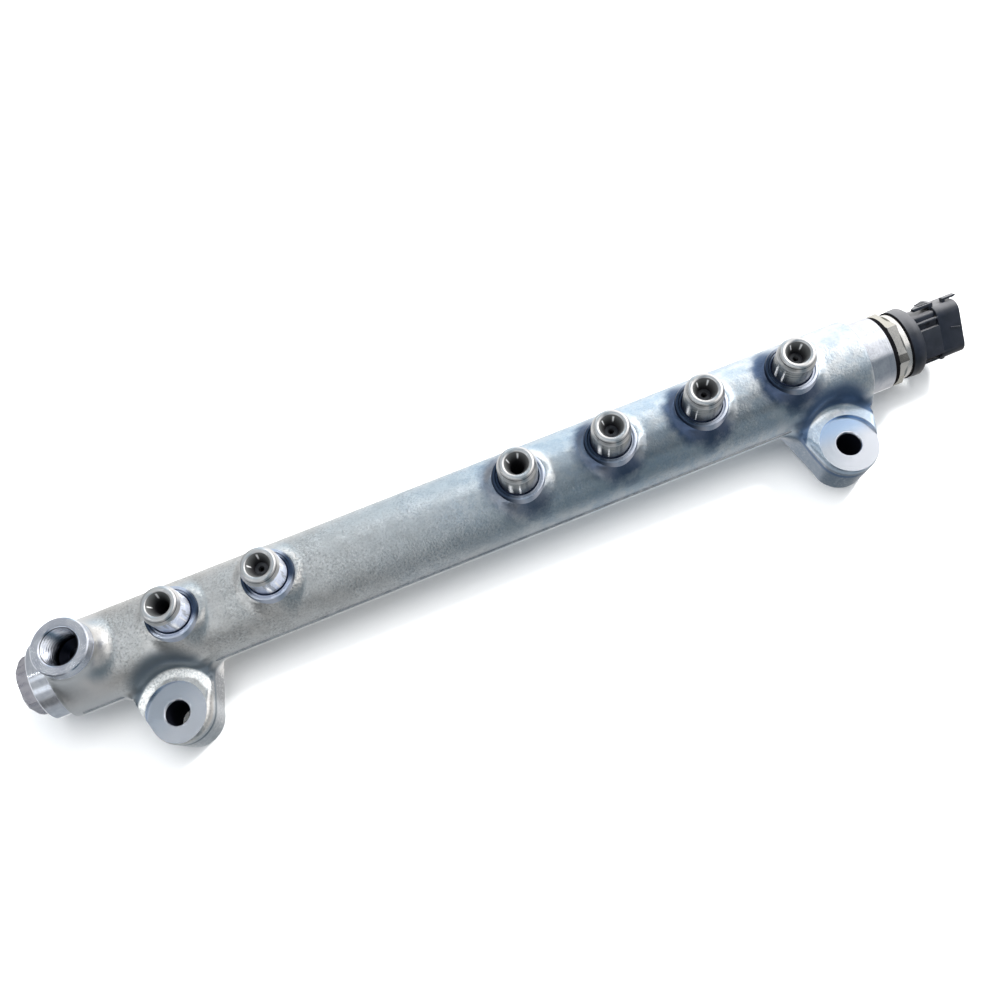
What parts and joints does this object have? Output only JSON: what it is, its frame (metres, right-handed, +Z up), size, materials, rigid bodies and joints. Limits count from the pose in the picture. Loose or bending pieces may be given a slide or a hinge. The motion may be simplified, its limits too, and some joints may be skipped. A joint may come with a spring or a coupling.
{
  "type": "fuel rail",
  "caption": "Forged high-pressure fuel rail with threaded pipe nozzles, two bolt lugs, a return port, a limiting valve and a pressure sensor with connector.",
  "frame": {"origin": "on the seating plane of the two feet, midway between the two bolt axes", "axes": "+X along the rail towards the pressure sensor, +Y from the bolts towards the rail, +Z up along the nozzles"},
  "size_m": [0.3627, 0.0567, 0.0482],
  "materials": {
    "zinc_steel": "forged, machined at the faces, bright zinc plated with a bluish passivation",
    "orifice_steel": "hardened and ground",
    "valve_steel": "turned, plain",
    "spring_steel": "drawn wire, oiled",
    "sensor_steel": "turned stainless steel",
    "rubber": "smooth moulded",
    "board": "lacquered circuit board",
    "carrier_plastic": "moulded",
    "terminal_brass": "tinned brass strip",
    "connector_plastic": "glass-filled moulding, satin"
  },
  "bodies": {
    "rail": {"rail_body": "zinc_steel", "throttle_1": "orifice_steel", "throttle_2": "orifice_steel", "throttle_3": "orifice_steel", "throttle_4": "orifice_steel", "valve_housing": "valve_steel", "valve_seat": "orifice_steel", "valve_spring": "spring_steel", "valve_shim": "valve_steel", "valve_stop": "valve_steel", "valve_seal_ring": "rubber", "sensor_body": "sensor_steel", "sensor_seal_ring": "rubber", "measuring_cell": "sensor_steel", "circuit_board": "board", "contact_carrier": "carrier_plastic", "cover_seal_ring": "rubber", "terminal_1": "terminal_brass", "terminal_2": "terminal_brass", "terminal_3": "terminal_brass", "connector_housing": "connector_plastic"},
    "piston": {"valve_piston": "valve_steel"}
  },
  "joints": [
    {"name": "valve_lift", "type": "slide", "parent": "rail", "child": "piston", "axis": [-1, 0, 0], "range_m": [0, 0.0012], "stiffness_N_per_m": 20000, "springref_m": -0.0012, "deforming": ["valve_spring"]}
  ]
}
